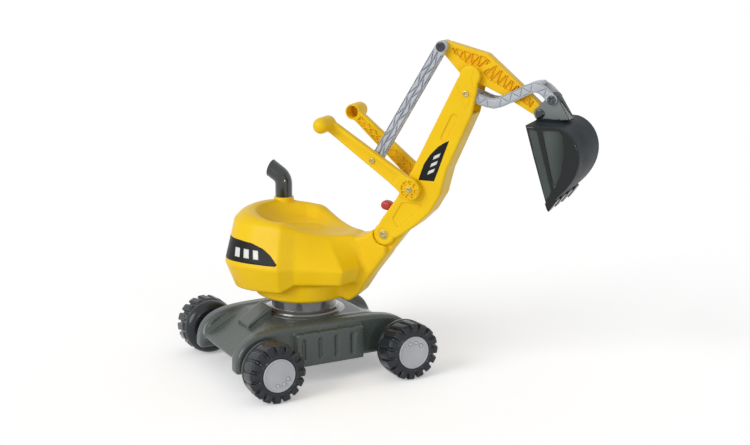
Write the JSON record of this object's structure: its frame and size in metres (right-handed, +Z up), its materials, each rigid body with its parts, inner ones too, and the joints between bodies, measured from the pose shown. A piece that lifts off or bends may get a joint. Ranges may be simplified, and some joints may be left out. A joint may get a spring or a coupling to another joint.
{
  "type": "ride_on_toy_excavator",
  "caption": "Ride-on toy excavator with swivelling house and seat, four wheels, exhaust, two hand levers and a linked digging arm with bucket",
  "frame": {"origin": "On the floor under the axis that the house swivels on.", "axes": "+X along the digging arm, +Y to the left of the house, +Z up. The chassis is turned 51 degrees under the house as pictured."},
  "size_m": [0.923, 0.601, 0.723],
  "materials": {
    "yellow_plastic": "glossy blow-moulded plastic",
    "dark_plastic": "satin dark grey-green plastic",
    "collar_plastic": "glossy dark plastic",
    "wheel_plastic": "blue-black plastic",
    "hub_plastic": "light grey plastic",
    "grey_plastic": "mid grey plastic",
    "black_plastic": "glossy near-black plastic",
    "bucket_plastic": "charcoal plastic",
    "red_plastic": "red plastic",
    "steel": "zinc-plated steel"
  },
  "bodies": {
    "chassis": {"chassis_shell": "dark_plastic", "turntable_ring": "collar_plastic", "front_axle": "steel", "rear_axle": "steel", "axle_retainers": "steel", "axle_spacers": "black_plastic"},
    "house": {"house_shell": "yellow_plastic", "exhaust_pipe": "black_plastic", "swivel_bolt": "steel", "swivel_nut": "steel"},
    "boom": {"boom_shell": "yellow_plastic", "boom_pivot_bolt": "steel", "boom_pivot_nut": "steel", "lever_left": "yellow_plastic", "lever_pivot_bolt": "steel", "lever_pivot_nut": "steel", "dipper_pin": "steel", "link_pivot_screw": "steel", "lock_pin": "steel", "lock_spring": "steel"},
    "control_lever": {"lever_right": "yellow_plastic", "strut_lower_screw": "steel"},
    "push_strut": {"strut": "grey_plastic"},
    "dipper_arm": {"dipper": "yellow_plastic", "strut_upper_bolt": "black_plastic"},
    "curl_link": {"bucket_link": "grey_plastic"},
    "bucket_body": {"bucket": "bucket_plastic", "bucket_pin": "black_plastic", "link_bucket_pin": "steel"},
    "lock": {"lock_lever": "red_plastic"},
    "wheel_set_front_left": {"wheel_front_left": "wheel_plastic", "hub_cap_front_left": "hub_plastic"},
    "wheel_set_front_right": {"wheel_front_right": "wheel_plastic", "hub_cap_front_right": "hub_plastic"},
    "wheel_set_rear_left": {"wheel_rear_left": "wheel_plastic", "hub_cap_rear_left": "hub_plastic"},
    "wheel_set_rear_right": {"wheel_rear_right": "wheel_plastic", "hub_cap_rear_right": "hub_plastic"}
  },
  "joints": [
    {"name": "house_swivel", "type": "hinge", "parent": "chassis", "child": "house", "pos_m": [0, 0, 0.16], "axis": [0, 0, 1], "continuous": true},
    {"name": "boom_tilt", "type": "hinge", "parent": "house", "child": "boom", "pos_m": [0.2, 0, 0.316], "axis": [0, 1, 0], "range_deg": [-4, 55]},
    {"name": "dipper_swing", "type": "hinge", "parent": "boom", "child": "dipper_arm", "pos_m": [0.383, 0, 0.655], "axis": [0, 1, 0], "range_deg": [-5, 25]},
    {"name": "control_lever_swing", "type": "hinge", "parent": "boom", "child": "control_lever", "pos_m": [0.2635, 0, 0.4195], "axis": [0, 1, 0], "range_deg": [-4.5, 20.5]},
    {"name": "push_strut_swing", "type": "hinge", "parent": "control_lever", "child": "push_strut", "pos_m": [0.18187, 0, 0.47373], "axis": [0, 1, 0], "range_deg": [-19.07, 4.21]},
    {"name": "curl_link_swing", "type": "hinge", "parent": "boom", "child": "curl_link", "pos_m": [0.376, 0, 0.62], "axis": [0, 1, 0], "range_deg": [-6.79, 31.95]},
    {"name": "bucket_curl", "type": "hinge", "parent": "dipper_arm", "child": "bucket_body", "pos_m": [0.526, 0, 0.588], "axis": [0, 1, 0], "range_deg": [-8.11, 38.52]},
    {"name": "lock_press", "type": "hinge", "parent": "boom", "child": "lock", "pos_m": [0.22665, 0, 0.37473], "axis": [0, 1, 0], "range_deg": [0, 10], "stiffness_Nm_per_rad": 0.2},
    {"name": "wheel_front_left_spin", "type": "hinge", "parent": "chassis", "child": "wheel_set_front_left", "pos_m": [-0.0397, 0.23224, 0.0615], "axis": [-0.7771, 0.6293, 0], "continuous": true},
    {"name": "wheel_front_right_spin", "type": "hinge", "parent": "chassis", "child": "wheel_set_front_right", "pos_m": [0.23541, 0.00946, 0.0615], "axis": [-0.7771, 0.6293, 0], "continuous": true},
    {"name": "wheel_rear_left_spin", "type": "hinge", "parent": "chassis", "child": "wheel_set_rear_left", "pos_m": [-0.23541, -0.00946, 0.0615], "axis": [-0.7771, 0.6293, 0], "continuous": true},
    {"name": "wheel_rear_right_spin", "type": "hinge", "parent": "chassis", "child": "wheel_set_rear_right", "pos_m": [0.0397, -0.23224, 0.0615], "axis": [-0.7771, 0.6293, 0], "continuous": true}
  ],
  "couplings": [
    {"joint": "control_lever_swing", "follows": "dipper_swing", "ratio": 0.8},
    {"joint": "push_strut_swing", "follows": "dipper_swing", "ratio": -0.743},
    {"joint": "curl_link_swing", "follows": "dipper_swing", "ratio": 1.258},
    {"joint": "bucket_curl", "follows": "dipper_swing", "ratio": 1.521}
  ]
}
